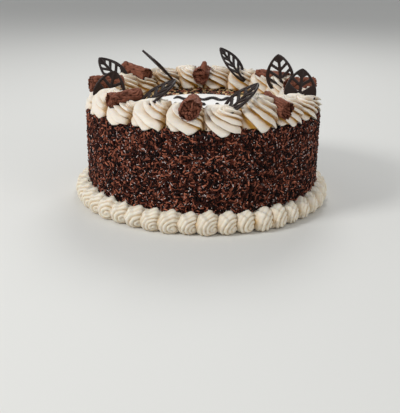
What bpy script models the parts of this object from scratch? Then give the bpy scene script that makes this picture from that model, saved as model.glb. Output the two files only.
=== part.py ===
"""Chocolate gateau, eight inches across.

A drum coated in chocolate vermicelli stands in a ring of small piped shells. Twenty swirls of
cream are piped round its top edge, with eight ruffled chocolate sticks laid on them and eight
filigree chocolate leaves stuck in them, and a white icing plaque with piped scrolls lies in
the middle. The origin is at the centre of the base, +Z up, and the front of the cake is at -Y.
Azimuths run from the front, anticlockwise seen from above.
"""

import math
import random

import bmesh
import bpy
from mathutils import Matrix, Vector

MM = 0.001
GAP = 0.3 * MM                      # air between touching pieces
WELD = 1e-7                         # merge distance
SHARP_ANGLE = math.radians(35)      # edges sharper than this stay sharp in the shading

# The drum and its coat
DRUM_HEIGHT = 80 * MM
COAT_RADIUS = 101.3 * MM            # mean radius over the vermicelli
COAT_BUMP = 1.0 * MM                # how far the coat stands in and out
COAT_EDGE = 0.4                     # part of a bump that is left along the coat's two edges
COAT_SLIDE = 0.25                   # how far a bump strays up or down, in rows
SHELL_TOP = 18.9 * MM               # nothing of the foot border reaches higher
COAT_FOOT = SHELL_TOP + GAP         # the coat starts above it
BARE_RADIUS = 100 * MM              # the wall behind the foot border
SHOULDER_RADIUS = 96.5 * MM         # edge of the flat top
SHOULDER_DROP = 3 * MM
WALL_COLUMNS = 96
WALL_ROWS = 9

# Vermicelli strewn on the top, between the plaque and the swirls
STRAND_COUNT = 50                   # less those that would lie under the plaque
STRAND_LENGTH = 5.6 * MM
STRAND_SHORTEST = 0.75              # against that length
STRAND_LONGEST = 1.1
STRAND_DIAMETER = 1.8 * MM
STRAND_SIDES = 5
STRAND_SINK = 0.3                   # part of the diameter under the surface
STREWN_FROM = 54 * MM
STREWN_TO = 65 * MM
GOLDEN_ANGLE = math.pi * (3 - math.sqrt(5))

# The ring of small shells round the foot
SHELL_COUNT = 44
SHELLS_IN_QUARTER = SHELL_COUNT // 4
SHELL_COLUMNS = 4                   # columns of faces to a shell
SHELL_PHASE = math.radians(3.3)
SHELL_CENTRE_RADIUS = 103 * MM      # centre of the rounded section
SHELL_CENTRE_HEIGHT = 7.4 * MM
SHELL_DEPTH = 12.1 * MM
SHELL_RISE = 10.2 * MM
SHELL_PINCH = 0.36                  # how far the ring narrows between two shells
SHELL_RIDGE = 0.7 * MM              # arched ridges, one to each second row
SHELL_ROWS = 5                      # rows on the outer face
SHELL_TOP_ANGLE = math.radians(80)
SHELL_LOW_ANGLE = math.radians(-24)
SHELL_BASE_RADIUS = 108.5 * MM
SHELL_LEAN = 0.16                   # drift of the lower rows, in shells
SHELL_SWELL = 0.7                   # the lower, the fuller a shell between its two pinches
SHELL_SMALLEST = 0.95
SHELL_LARGEST = 1.03
SHELL_STRAY = 0.08                  # how far the ridges of a shell stray aside, in shells

# The swirls of cream round the top edge
SWIRL_COUNT = 20
SWIRL_SEED = 31
SWIRL_PHASE = math.radians(-7.7)
SWIRL_CENTRE_RADIUS = 86 * MM
SWIRL_HALF_DEPTH = 15.4 * MM        # radial
SWIRL_HALF_WIDTH = 16.4 * MM        # along the edge, before its neighbours crowd it
SWIRL_CROWDING = 7                  # the higher, the flatter the sides that meet
SWIRL_HEIGHT = 19.3 * MM
SWIRL_ODD_HEIGHTS = {
    1: 17.5 * MM, 2: 23.5 * MM, 4: 16.5 * MM, 5: 12.5 * MM, 6: 15 * MM,
    13: 16 * MM, 16: 13 * MM, 18: 16 * MM}
SWIRL_LOWEST = 0.92                 # against that height
SWIRL_HIGHEST = 1.06
SWIRL_PEAK_STRAY = 2 * MM
SWIRL_LIP = 1.6 * MM                # height of the widest ring over the seat
SWIRL_SHOULDER = 0.8                # the lower, the fuller the swirl in plan
SWIRL_DOME = 0.85                   # the lower, the rounder its top
SWIRL_LOBES = 8
SWIRL_RINGS = 6
SWIRL_WIDEST_RING = 4
SWIRL_LOBE_DEPTH = 0.12
SWIRL_FOLD = 0.03                   # how far the folds stray in and out
SWIRL_TWIST = math.radians(85)      # turn of a ridge from the peak to the foot
SWIRL_SEAT = 0.62                   # radius of the underside, against the widest ring
SWIRL_ROOM = 0.9 * MM               # growth of a swirl that keeps a leaf clear of its folds
SWIRL_SAG_FROM = 99 * MM
SWIRL_SAG = 0.6                     # drop per length past that radius

# The ruffled sticks: centre, heading in plan (from +X), tilt of the far end, length, radius
STICK_RUFFLE = 1.3 * MM
STICK_SIDES = 10
STICK_ROWS = 4
STICK_CUTTER_SIDES = 6
STICK_SHALLOWEST = 0.4              # of the ruffle, for one fold
STICK_SLIP = 1.0 * MM               # how far the folds stray along the stick
STICK_END_SLIP = 1.5 * MM           # how far a fold falls short of the end
STICKS = (
    (Vector((-9.8, -86.5, 96.2)) * MM, 88, -4, 31 * MM, 7.2 * MM),
    (Vector((57.5, -69.0, 95.5)) * MM, 125, 8, 29 * MM, 5.8 * MM),
    (Vector((86.5, 14.5, 96.5)) * MM, 26, 0, 28 * MM, 5.6 * MM),
    (Vector((65.5, 52.0, 96.2)) * MM, -41, 0, 34 * MM, 5.6 * MM),
    (Vector((-1.0, 82.5, 93.0)) * MM, 80, 0, 30 * MM, 6.6 * MM),
    (Vector((-65.0, 61.0, 97.4)) * MM, -33, -8, 28 * MM, 6.6 * MM),
    (Vector((-86.2, 4.0, 97.0)) * MM, 24, 0, 30 * MM, 5.4 * MM),
    (Vector((-63.5, -58.5, 96.8)) * MM, 29, 4, 27.5 * MM, 5.5 * MM),
)
SHARD_STICK = 4                     # this one has a splinter standing up
SHARD_RISE = 8 * MM

# The filigree leaves: foot in the cream, midrib towards the tip, turn about the midrib
LEAF_LENGTH = 41.5 * MM
LEAF_WIDTH = 28 * MM
LEAF_FULLNESS = 0.72                # the lower, the blunter the two ends
LEAF_THICKNESS = 2.2 * MM
LEAF_BURIED = 5 * MM
LEAF_MIDRIB = 2.8 * MM
LEAF_RIM = 3.0 * MM
LEAF_VEIN = 3.4 * MM                # height of a side vein along the midrib
LEAF_CELLS = 4
LEAF_CELL_PITCH = 7.6 * MM
LEAF_FIRST_CELL = 5.4 * MM
LEAF_VEIN_SLOPE = 0.75
LEAF_SIDE_POINTS = 8
BISECTIONS = 24                     # steps of the search for the rim
LEAVES = (
    (Vector((-74.0, 30.5, 91.5)) * MM, Vector((-22.5, 3, 23.3)) * MM, 60),
    (Vector((-81.5, -17.0, 90.0)) * MM, Vector((5.6, 2, 21.6)) * MM, 6),
    (Vector((-30.4, 65.0, 90.5)) * MM, Vector((-29, 3, 26.8)) * MM, 99),
    (Vector((-50.5, -74.0, 91.5)) * MM, Vector((28.5, 13.3, 21.5)) * MM, -78),
    (Vector((37.8, 63.5, 92.0)) * MM, Vector((-23, 5, 29)) * MM, 67),
    (Vector((17.1, -84.0, 91.5)) * MM, Vector((25.6, 10.6, 22)) * MM, -78),
    (Vector((72.6, 29.0, 86.0)) * MM, Vector((-5.4, 4, 35)) * MM, -30),
    (Vector((82.5, -14.5, 89.6)) * MM, Vector((2, 3, 26)) * MM, 2),
)

# The plaque and its piped scrolls
PLAQUE_RADIUS = 50 * MM
PLAQUE_Y = -14 * MM                 # it lies nearer the front swirls than the back ones
PLAQUE_THICKNESS = 2.4 * MM
PLAQUE_EDGE = 0.7 * MM
PLAQUE_SIDES = 36
PIPING_DIAMETER = 2.9 * MM
PIPING_SINK = 0.3                   # part of the diameter under the surface
SCROLL_ROWS = (24 * MM, -25 * MM)
SCROLL_HALF_LENGTH = 27 * MM
SCROLL_HEIGHT = 4.6 * MM
SCROLL_WAVES = 3.5
SCROLL_POINTS = 18
DOT_COUNT = 5
DOT_PITCH = 12 * MM
DOT_DIAMETER = 4.4 * MM
DOT_LIFT = 0.1                      # of a dot's diameter, from the plaque to its middle


def linear_colour(code):
    """The linear RGBA of an sRGB hex code."""
    channels = [int(code[i:i + 2], 16) / 255 for i in (0, 2, 4)]
    linear = [c / 12.92 if c <= 0.04045 else ((c + 0.055) / 1.055) ** 2.4 for c in channels]
    return (*linear, 1.0)


def new_material(name, code, roughness):
    material = bpy.data.materials.new(name)
    material.use_nodes = True
    shader = material.node_tree.nodes["Principled BSDF"]
    shader.inputs["Base Color"].default_value = linear_colour(code)
    shader.inputs["Roughness"].default_value = roughness
    shader.inputs["Metallic"].default_value = 0.0
    return material


def new_collection(name, parent=None):
    collection = bpy.data.collections.new(name)
    (parent or bpy.context.scene.collection).children.link(collection)
    return collection


def new_object(name, data, collection, matrix=None):
    obj = bpy.data.objects.new(name, data)
    collection.objects.link(obj)
    if matrix is not None:
        obj.matrix_world = matrix
    return obj


def object_from_bmesh(name, bm, collection, matrix=None):
    """An object of triangles, because the four corners of a face rarely lie in one plane."""
    bmesh.ops.triangulate(bm, faces=bm.faces, quad_method="SHORT_EDGE")
    mesh = bpy.data.meshes.new(name)
    bm.to_mesh(mesh)
    bm.free()
    return new_object(name, mesh, collection, matrix)


def remove_collection(collection):
    """Remove a collection of pieces that are now part of another object."""
    for obj in list(collection.objects):
        bpy.data.objects.remove(obj)
    bpy.data.collections.remove(collection)


def as_guide(obj):
    """Show an object as a cutter, which is no part of the cake."""
    obj.hide_render = True
    obj.display_type = "WIRE"
    return obj


def bake(obj):
    """Replace an object by its evaluated mesh, welded and of triangles only."""
    bpy.context.view_layer.update()
    evaluated = obj.evaluated_get(bpy.context.evaluated_depsgraph_get())
    mesh = bpy.data.meshes.new_from_object(evaluated)
    bm = bmesh.new()
    bm.from_mesh(mesh)
    bmesh.ops.remove_doubles(bm, verts=bm.verts, dist=WELD)
    bmesh.ops.triangulate(bm, faces=bm.faces, quad_method="SHORT_EDGE")
    bm.to_mesh(mesh)
    bm.free()
    baked = new_object(obj.name, mesh, obj.users_collection[0], obj.matrix_world)
    name = obj.name
    bpy.data.objects.remove(obj)
    baked.name = name
    return baked


def join_all(obj, pieces):
    """Join an object with all the pieces of a collection."""
    union = obj.modifiers.new("union", "BOOLEAN")
    union.operation = "UNION"
    union.operand_type = "COLLECTION"
    union.collection = pieces
    joined = bake(obj)
    remove_collection(pieces)
    return joined


def keep_largest_body(obj):
    """Drop the loose scraps that a cut leaves."""
    bm = bmesh.new()
    bm.from_mesh(obj.data)
    unseen = set(bm.faces)
    bodies = []
    while unseen:
        body = []
        front = [unseen.pop()]
        while front:
            face = front.pop()
            body.append(face)
            for edge in face.edges:
                for other in edge.link_faces:
                    if other in unseen:
                        unseen.discard(other)
                        front.append(other)
        bodies.append(body)
    bodies.sort(key=lambda body: sum(face.calc_area() for face in body))
    scraps = [face for body in bodies[:-1] for face in body]
    bmesh.ops.delete(bm, geom=scraps, context="FACES")
    bm.to_mesh(obj.data)
    bm.free()


def moulded_sphere(name, segments, rings, place, collection):
    """A round primitive, each vertex placed by its polar angle and its turn."""
    bm = bmesh.new()
    bmesh.ops.create_uvsphere(bm, u_segments=segments, v_segments=rings, radius=1.0)
    for vert in bm.verts:
        polar = math.acos(max(-1.0, min(1.0, vert.co.z)))
        turn = math.atan2(vert.co.y, vert.co.x)
        vert.co = place(polar, turn)
    return object_from_bmesh(name, bm, collection)


def along_azimuth(azimuth, radius, across=0.0, height=0.0):
    """A point at an azimuth from the front, moved across it to the right."""
    outward = Vector((math.sin(azimuth), -math.cos(azimuth), 0))
    rightward = Vector((math.cos(azimuth), math.sin(azimuth), 0))
    return outward * radius + rightward * across + Vector((0, 0, height))


def frame_matrix(origin, z_axis, y_hint):
    """A placing matrix from its origin, its Z axis and a rough Y axis."""
    z_axis = z_axis.normalized()
    x_axis = y_hint.cross(z_axis).normalized()
    y_axis = z_axis.cross(x_axis)
    rotation = Matrix((x_axis, y_axis, z_axis)).transposed()
    return Matrix.Translation(origin) @ rotation.to_4x4()


def make_drum(collection):
    """The cake, turned from its profile, with a rough coat on the wall."""
    wall_top = DRUM_HEIGHT - SHOULDER_DROP
    profile = [(0, DRUM_HEIGHT), (SHOULDER_RADIUS, DRUM_HEIGHT)]
    for row in range(WALL_ROWS + 1):
        height = wall_top + (COAT_FOOT - wall_top) * row / WALL_ROWS
        profile.append((COAT_RADIUS, height))
    profile += [(BARE_RADIUS, COAT_FOOT - GAP), (BARE_RADIUS, 0), (0, 0)]

    mesh = bpy.data.meshes.new("cake")
    points = [(radius, 0, height) for radius, height in profile]
    mesh.from_pydata(points, [(i, i + 1) for i in range(len(points) - 1)], [])
    drum = new_object("cake", mesh, collection)
    screw = drum.modifiers.new("turn", "SCREW")
    screw.steps = WALL_COLUMNS
    screw.render_steps = WALL_COLUMNS
    screw.use_merge_vertices = True
    screw.merge_threshold = WELD
    drum = bake(drum)
    roughen_coat(drum, wall_top)
    return strew_vermicelli(drum)


def roughen_coat(drum, wall_top):
    """Give the wall bumps of the size of vermicelli."""
    draw = random.Random(11)
    row_height = (wall_top - COAT_FOOT) / WALL_ROWS
    for vert in drum.data.vertices:
        radius = math.hypot(vert.co.x, vert.co.y)
        if radius < COAT_RADIUS - GAP or not COAT_FOOT - GAP < vert.co.z:
            continue
        bump = draw.uniform(-COAT_BUMP, COAT_BUMP)
        slide = draw.uniform(-COAT_SLIDE, COAT_SLIDE) * row_height
        at_edge = vert.co.z > wall_top - GAP or vert.co.z < COAT_FOOT + GAP
        if at_edge:
            bump *= COAT_EDGE
            slide = 0.0
        scale = 1 + bump / radius
        vert.co = (vert.co.x * scale, vert.co.y * scale, vert.co.z + slide)


def strew_vermicelli(drum):
    """Lay single strands on the top, clear of the plaque, and join them to it."""
    strands = new_collection("strands")
    draw = random.Random(23)
    clear = PLAQUE_RADIUS + STRAND_LENGTH * STRAND_LONGEST / 2 + GAP
    height = DRUM_HEIGHT + (0.5 - STRAND_SINK) * STRAND_DIAMETER
    for index in range(STRAND_COUNT):
        share = (index + 0.5) / STRAND_COUNT
        radius = math.sqrt(STREWN_FROM ** 2 + share * (STREWN_TO ** 2 - STREWN_FROM ** 2))
        place = along_azimuth(index * GOLDEN_ANGLE, radius, height=height)
        if math.hypot(place.x, place.y - PLAQUE_Y) < clear:
            continue
        heading = draw.uniform(0, math.pi)
        lie = Vector((math.cos(heading), math.sin(heading), 0))
        length = STRAND_LENGTH * draw.uniform(STRAND_SHORTEST, STRAND_LONGEST)
        bm = bmesh.new()
        bmesh.ops.create_cone(
            bm, cap_ends=True, segments=STRAND_SIDES, radius1=STRAND_DIAMETER / 2,
            radius2=STRAND_DIAMETER / 2, depth=length)
        object_from_bmesh("strand", bm, strands, frame_matrix(place, lie, Vector((0, 0, 1))))
    return join_all(drum, strands)


def make_foot_border(collection):
    """Shells piped side by side against the wall, alike in each quarter.

    The ring is a torus, whose section is one flat wall side, one flat base and rounded rows.
    The section shrinks between two shells, so that its ridges become nested arches.
    """
    draw = random.Random(5)
    habits = [
        (draw.uniform(SHELL_SMALLEST, SHELL_LARGEST), draw.uniform(-SHELL_STRAY, SHELL_STRAY))
        for _ in range(SHELLS_IN_QUARTER)]
    habits[0] = (1.0, 0.0)
    columns = SHELL_COUNT * SHELL_COLUMNS
    sides = SHELL_ROWS + 3
    bpy.ops.mesh.primitive_torus_add(
        major_segments=columns, minor_segments=sides, major_radius=SHELL_CENTRE_RADIUS,
        minor_radius=SHELL_RISE)
    border = bpy.context.object
    border.name = "foot_border"
    for vert in border.data.vertices:
        column = round(math.atan2(vert.co.y, vert.co.x) / math.tau * columns) % columns
        reach = math.hypot(vert.co.x, vert.co.y) - SHELL_CENTRE_RADIUS
        side = round(-math.atan2(vert.co.z, reach) / math.tau * sides) % sides
        shell, step = divmod(column, SHELL_COLUMNS)
        vert.co = shell_point(shell, step / SHELL_COLUMNS, side, habits)
    border.users_collection[0].objects.unlink(border)
    collection.objects.link(border)
    return border


def shell_point(shell, share, side, habits):
    """A point of the ring: 0 and 1 are its wall side, then the rows from the top down."""
    size, drift = habits[shell % SHELLS_IN_QUARTER]
    if share == 0.0:
        size = (size + habits[(shell - 1) % SHELLS_IN_QUARTER][0]) / 2
        drift = 0.0
    swell = math.sin(math.pi * share) ** SHELL_SWELL
    scale = size * (1 - SHELL_PINCH * (1 - swell))
    last = SHELL_ROWS + 2
    if side == 0 or side == last:
        radius = BARE_RADIUS / math.cos(math.pi / WALL_COLUMNS) + GAP
        if side == last:
            radius = SHELL_CENTRE_RADIUS + (SHELL_BASE_RADIUS - SHELL_CENTRE_RADIUS) * scale
        return along_azimuth(shell_azimuth(shell + share), radius)
    angle = SHELL_TOP_ANGLE
    if side > 1:
        row = (side - 2) / (SHELL_ROWS - 1)
        angle += (SHELL_LOW_ANGLE - SHELL_TOP_ANGLE) * row
        share += (SHELL_LEAN * row + drift) * swell
    ridge = SHELL_RIDGE if side % 2 else -SHELL_RIDGE
    radius = SHELL_CENTRE_RADIUS + (SHELL_DEPTH * scale + ridge * swell) * math.cos(angle)
    height = SHELL_CENTRE_HEIGHT + (SHELL_RISE * scale + ridge * swell) * math.sin(angle)
    if side == 1:
        radius = BARE_RADIUS / math.cos(math.pi / WALL_COLUMNS) + GAP
    return along_azimuth(shell_azimuth(shell + share), radius, height=min(height, SHELL_TOP))


def shell_azimuth(turn):
    """The azimuth of a place counted in shells; whole numbers lie between two shells."""
    return SHELL_PHASE + math.tau * (turn - 0.5) / SHELL_COUNT


def swirl_point(index, room):
    """The placing rule of one swirl of cream, held inside its share of the edge.

    With some room, the same swirl comes out larger on all sides.
    """
    draw = random.Random(SWIRL_SEED + index)
    azimuth = SWIRL_PHASE + math.tau * index / SWIRL_COUNT
    height = SWIRL_ODD_HEIGHTS.get(index, SWIRL_HEIGHT)
    height = height * draw.uniform(SWIRL_LOWEST, SWIRL_HIGHEST) + room
    start = draw.uniform(0, math.tau)
    peak = Vector([draw.uniform(-SWIRL_PEAK_STRAY, SWIRL_PEAK_STRAY) for _ in range(2)])
    widest = math.pi * SWIRL_WIDEST_RING / SWIRL_RINGS

    def place(polar, turn):
        down = min(polar / widest, 1.0)
        swept = turn + start + SWIRL_TWIST * down
        reach = math.sin(down * math.pi / 2) ** SWIRL_SHOULDER
        reach *= 1 + SWIRL_LOBE_DEPTH * math.cos(SWIRL_LOBES * turn)
        reach *= draw.uniform(1 - SWIRL_FOLD, 1 + SWIRL_FOLD)
        rise = SWIRL_LIP + (height - SWIRL_LIP) * math.cos(down * math.pi / 2) ** SWIRL_DOME
        if polar > widest + 0.1:
            reach = SWIRL_SEAT if polar < math.pi - 0.1 else 0.0
            rise = -room
        across = (SWIRL_HALF_WIDTH + room) * reach * math.cos(swept) + peak.x * (1 - down)
        outward = -(SWIRL_HALF_DEPTH + room) * reach * math.sin(swept) + peak.y * (1 - down)
        radius = SWIRL_CENTRE_RADIUS + outward
        limit = radius * math.tan(math.pi / SWIRL_COUNT) - GAP / 2 + room
        across /= (1 + abs(across / limit) ** SWIRL_CROWDING) ** (1 / SWIRL_CROWDING)
        sag = SWIRL_SAG * max(0.0, radius - SWIRL_SAG_FROM) * down
        return along_azimuth(azimuth, radius, across, DRUM_HEIGHT + GAP + rise - sag)
    return place


def make_swirls(collection, cutters):
    swirls = []
    for index in range(SWIRL_COUNT):
        name = f"swirl_{index + 1:02d}"
        segments = 2 * SWIRL_LOBES
        rule = swirl_point(index, 0.0)
        swirls.append(moulded_sphere(name, segments, SWIRL_RINGS, rule, collection))
        rule = swirl_point(index, SWIRL_ROOM)
        room = moulded_sphere(f"room_for_{name}", segments, SWIRL_RINGS, rule, cutters)
        as_guide(room)
    return swirls


def stick_matrix(centre, heading, tilt):
    """Lay a stick along its heading, its far end lifted by the tilt."""
    heading = math.radians(heading)
    tilt = math.radians(tilt)
    level = math.cos(tilt)
    lie = Vector((math.cos(heading) * level, math.sin(heading) * level, math.sin(tilt)))
    return frame_matrix(centre, lie, Vector((0, 0, 1)))


def make_stick(name, placing, length, girth, draw, collection):
    """A bundle of thin chocolate folds: flutes along it and ragged ends."""
    bm = bmesh.new()
    bmesh.ops.create_cone(
        bm, cap_ends=True, segments=STICK_SIDES, radius1=girth, radius2=girth, depth=length)
    flutes = [edge for edge in bm.edges if abs(edge.verts[0].co.z - edge.verts[1].co.z) > GAP]
    bmesh.ops.subdivide_edges(bm, edges=flutes, cuts=STICK_ROWS - 1, use_grid_fill=True)
    for vert in bm.verts:
        turn = math.atan2(vert.co.y, vert.co.x)
        side = round(turn / math.tau * STICK_SIDES - 0.25)
        ridge = STICK_RUFFLE if side % 2 else -STICK_RUFFLE
        radius = girth + ridge * draw.uniform(STICK_SHALLOWEST, 1.0)
        at_end = abs(vert.co.z) > length / 2 - GAP
        slip = draw.uniform(-STICK_END_SLIP, 0) if at_end else draw.uniform(-STICK_SLIP, STICK_SLIP)
        height = vert.co.z + slip * math.copysign(1, vert.co.z)
        vert.co = (math.cos(turn) * radius, math.sin(turn) * radius, height)
    return object_from_bmesh(name, bm, collection, placing)


def make_stick_cutter(name, placing, length, girth, collection):
    """The room that a stick takes in the cream."""
    bm = bmesh.new()
    radius = (girth + STICK_RUFFLE + GAP) / math.cos(math.pi / STICK_CUTTER_SIDES)
    bmesh.ops.create_cone(
        bm, cap_ends=True, segments=STICK_CUTTER_SIDES, radius1=radius, radius2=radius,
        depth=length + 2 * GAP)
    return as_guide(object_from_bmesh(name, bm, collection, placing))


def raise_shard(stick):
    """Pull the topmost folds of a stick up into a splinter."""
    up = stick.matrix_world.to_3x3().inverted() @ Vector((0, 0, 1))
    topmost = max(stick.data.vertices, key=lambda vert: vert.co.dot(up) - abs(vert.co.z))
    topmost.co += up * SHARD_RISE


def make_sticks(collection, cutters):
    draw = random.Random(47)
    sticks = []
    for index, (centre, heading, tilt, length, girth) in enumerate(STICKS):
        placing = stick_matrix(centre, heading, tilt)
        name = f"stick_{index + 1:02d}"
        stick = make_stick(name, placing, length, girth, draw, collection)
        if index == SHARD_STICK:
            raise_shard(stick)
        sticks.append(stick)
        make_stick_cutter(f"room_for_{name}", placing, length, girth, cutters)
    return sticks


def world_box(obj):
    """The lowest and the highest corner of an object."""
    bpy.context.view_layer.update()
    corners = [obj.matrix_world @ Vector(corner) for corner in obj.bound_box]
    low = Vector([min(corner[axis] for corner in corners) for axis in range(3)])
    high = Vector([max(corner[axis] for corner in corners) for axis in range(3)])
    return low, high


def boxes_meet(first, second):
    (low_a, high_a), (low_b, high_b) = world_box(first), world_box(second)
    return all(low_a[axis] < high_b[axis] and low_b[axis] < high_a[axis] for axis in range(3))


def cut_clear(obj, rooms):
    """Cut an object clear of each neighbour whose room it enters, one at a time."""
    for room in rooms.objects:
        if boxes_meet(obj, room):
            cut = obj.modifiers.new("cut", "BOOLEAN")
            cut.operation = "DIFFERENCE"
            cut.object = room
            cut.solver = "MANIFOLD"
            obj = bake(obj)
    keep_largest_body(obj)
    return obj


def leaf_half_width(along):
    """Half the width of a leaf, 0 at its base and its tip."""
    share = max(0.0, min(1.0, along / LEAF_LENGTH))
    return LEAF_WIDTH / 2 * math.sin(math.pi * share) ** LEAF_FULLNESS


def rim_crossing(start):
    """Where a side vein that leaves the midrib at a height meets the inner side of the rim."""
    low, high = 0.0, LEAF_WIDTH / 2
    for _ in range(BISECTIONS):
        middle = (low + high) / 2
        inside = middle < leaf_half_width(start + LEAF_VEIN_SLOPE * middle) - LEAF_RIM
        low, high = (middle, high) if inside else (low, middle)
    return (low, start + LEAF_VEIN_SLOPE * low)


def leaf_outlines(cut):
    """The outer outline of a leaf from its cut end to its tip, and its open cells."""
    heights = [cut + (LEAF_LENGTH - cut) * i / LEAF_SIDE_POINTS for i in range(LEAF_SIDE_POINTS)]
    right = [(leaf_half_width(height), height) for height in heights]
    left = [(-width, height) for width, height in reversed(right)]
    outlines = [right + [(0, LEAF_LENGTH)] + left]
    inner = LEAF_MIDRIB / 2
    for cell in range(LEAF_CELLS):
        low = LEAF_FIRST_CELL + cell * LEAF_CELL_PITCH
        high = low + LEAF_CELL_PITCH - LEAF_VEIN
        if low < cut + LEAF_VEIN / 2:
            continue
        low_rim, high_rim = rim_crossing(low), rim_crossing(high)
        rise = LEAF_VEIN_SLOPE * inner
        corners = [(inner, low + rise), low_rim, high_rim, (inner, high + rise)]
        outlines.append(corners)
        outlines.append([(-x, y) for x, y in corners])
    return outlines


def flat_curve(name, outlines, thickness, collection, matrix):
    """A flat outline with holes, filled on both faces and given its thickness."""
    curve = bpy.data.curves.new(name, "CURVE")
    curve.dimensions = "2D"
    curve.fill_mode = "BOTH"
    curve.extrude = thickness / 2
    for outline in outlines:
        spline = curve.splines.new("POLY")
        spline.points.add(len(outline) - 1)
        for point, (x, y) in zip(spline.points, outline):
            point.co = (x, y, 0, 1)
        spline.use_cyclic_u = True
    return bake(new_object(name, curve, collection, matrix))


def make_leaves(collection, cream_room):
    """Filigree leaves, each cut off where it enters the cream."""
    leaves = []
    for index, (foot, midrib, turn) in enumerate(LEAVES):
        hidden = LEAF_LENGTH - midrib.length
        upward = midrib.normalized()
        across = upward.cross(Vector((0, -1, 0))).normalized()
        across.rotate(Matrix.Rotation(math.radians(turn), 3, upward))
        face = across.cross(upward)
        rotation = Matrix((across, upward, face)).transposed()
        placing = Matrix.Translation(foot - upward * hidden) @ rotation.to_4x4()
        cut = max(hidden - LEAF_BURIED, 0.5 * MM)
        name = f"leaf_{index + 1:02d}"
        leaf = flat_curve(name, leaf_outlines(cut), LEAF_THICKNESS, collection, placing)
        leaf = cut_clear(leaf, cream_room)
        leaves.append(leaf)
    return leaves


def piped_line(points, collection):
    """A line of piped icing through points on the plaque."""
    curve = bpy.data.curves.new("piping", "CURVE")
    curve.dimensions = "3D"
    curve.bevel_depth = PIPING_DIAMETER / 2
    curve.bevel_resolution = 0
    curve.use_fill_caps = True
    spline = curve.splines.new("POLY")
    spline.points.add(len(points) - 1)
    for point, place in zip(spline.points, points):
        point.co = (*place, 1)
    return bake(new_object("piping", curve, collection))


def make_plaque(collection):
    """A round icing plaque with two piped scrolls and a row of dots between them."""
    bm = bmesh.new()
    bmesh.ops.create_cone(
        bm, cap_ends=True, segments=PLAQUE_SIDES, radius1=PLAQUE_RADIUS, radius2=PLAQUE_RADIUS,
        depth=PLAQUE_THICKNESS)
    middle = DRUM_HEIGHT + GAP + PLAQUE_THICKNESS / 2
    bmesh.ops.translate(bm, verts=bm.verts, vec=(0, PLAQUE_Y, middle))
    plaque = object_from_bmesh("plaque", bm, collection)
    edge = plaque.modifiers.new("edge", "BEVEL")
    edge.width = PLAQUE_EDGE
    edge.segments = 1
    plaque = bake(plaque)

    top = middle + PLAQUE_THICKNESS / 2
    piping = new_collection("piping")
    line_height = top + (0.5 - PIPING_SINK) * PIPING_DIAMETER
    for row, centre in enumerate(SCROLL_ROWS):
        points = []
        for step in range(SCROLL_POINTS + 1):
            share = step / SCROLL_POINTS
            x = SCROLL_HALF_LENGTH * (2 * share - 1)
            wave = math.sin(math.tau * SCROLL_WAVES * share + math.pi * row)
            points.append((x, PLAQUE_Y + centre + SCROLL_HEIGHT * wave, line_height))
        piped_line(points, piping)
    for index in range(DOT_COUNT):
        x = (index - (DOT_COUNT - 1) / 2) * DOT_PITCH
        bm = bmesh.new()
        bmesh.ops.create_uvsphere(bm, u_segments=6, v_segments=3, radius=DOT_DIAMETER / 2)
        bmesh.ops.translate(
            bm, verts=bm.verts, vec=(x, PLAQUE_Y, top + DOT_LIFT * DOT_DIAMETER))
        object_from_bmesh("dot", bm, piping)
    return join_all(plaque, piping)


def finish(objects, material):
    for obj in objects:
        obj.data.materials.clear()
        obj.data.materials.append(material)
        obj.data.shade_smooth()
        obj.data.set_sharp_from_angle(angle=SHARP_ANGLE)


def build():
    for obj in list(bpy.data.objects):
        bpy.data.objects.remove(obj)
    gateau = new_collection("chocolate_gateau")
    cutters = new_collection("cutters")
    stick_room = new_collection("stick_room", cutters)
    cream_room = new_collection("cream_room", cutters)

    drum = make_drum(gateau)
    border = make_foot_border(gateau)
    swirls = make_swirls(gateau, cream_room)
    sticks = make_sticks(gateau, stick_room)
    swirls = [cut_clear(swirl, stick_room) for swirl in swirls]
    leaves = make_leaves(gateau, cream_room)
    plaque = make_plaque(gateau)

    finish([drum], new_material("vermicelli_coat", "3A1E18", 0.5))
    finish([border], new_material("piped_cream_ivory", "EDE7DA", 0.45))
    finish(swirls, new_material("piped_cream", "F2ECE2", 0.45))
    finish(sticks, new_material("milk_chocolate", "7A4A3A", 0.6))
    finish(leaves, new_material("dark_chocolate", "2A1C1A", 0.35))
    finish([plaque], new_material("white_icing", "F6F4F0", 0.5))


build()
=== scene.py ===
"""Looks of the chocolate gateau: piped cream, vermicelli, ruffled sticks, leaves and a plaque.

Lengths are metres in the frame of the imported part: origin at the centre of the base, +Z up,
front at -Y. Azimuths run from the front, anticlockwise seen from above.
"""

import math
import random

import bpy
import numpy as np
from mathutils import Matrix, Vector, noise


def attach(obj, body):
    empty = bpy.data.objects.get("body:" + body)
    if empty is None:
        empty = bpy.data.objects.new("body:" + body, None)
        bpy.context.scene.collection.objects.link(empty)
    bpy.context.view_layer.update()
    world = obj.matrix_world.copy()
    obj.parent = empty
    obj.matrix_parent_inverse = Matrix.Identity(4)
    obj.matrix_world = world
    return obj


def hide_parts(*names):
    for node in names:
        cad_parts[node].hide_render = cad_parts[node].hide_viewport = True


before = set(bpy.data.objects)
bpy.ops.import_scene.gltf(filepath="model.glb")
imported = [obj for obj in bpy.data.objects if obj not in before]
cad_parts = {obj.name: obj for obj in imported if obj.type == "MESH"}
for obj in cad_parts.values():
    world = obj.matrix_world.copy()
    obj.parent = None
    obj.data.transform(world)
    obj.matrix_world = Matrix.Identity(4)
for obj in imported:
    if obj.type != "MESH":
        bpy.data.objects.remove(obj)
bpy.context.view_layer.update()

MM = 0.001
NOISE_SEED = 7                      # places the small lumps alike in each run
LUMP_RANGE = 50                     # a piece takes its own lumps from somewhere in this range
GAP = 0.3 * MM
SEAT = 80 * MM + GAP                # height at which cream and plaque lie on the top

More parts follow.
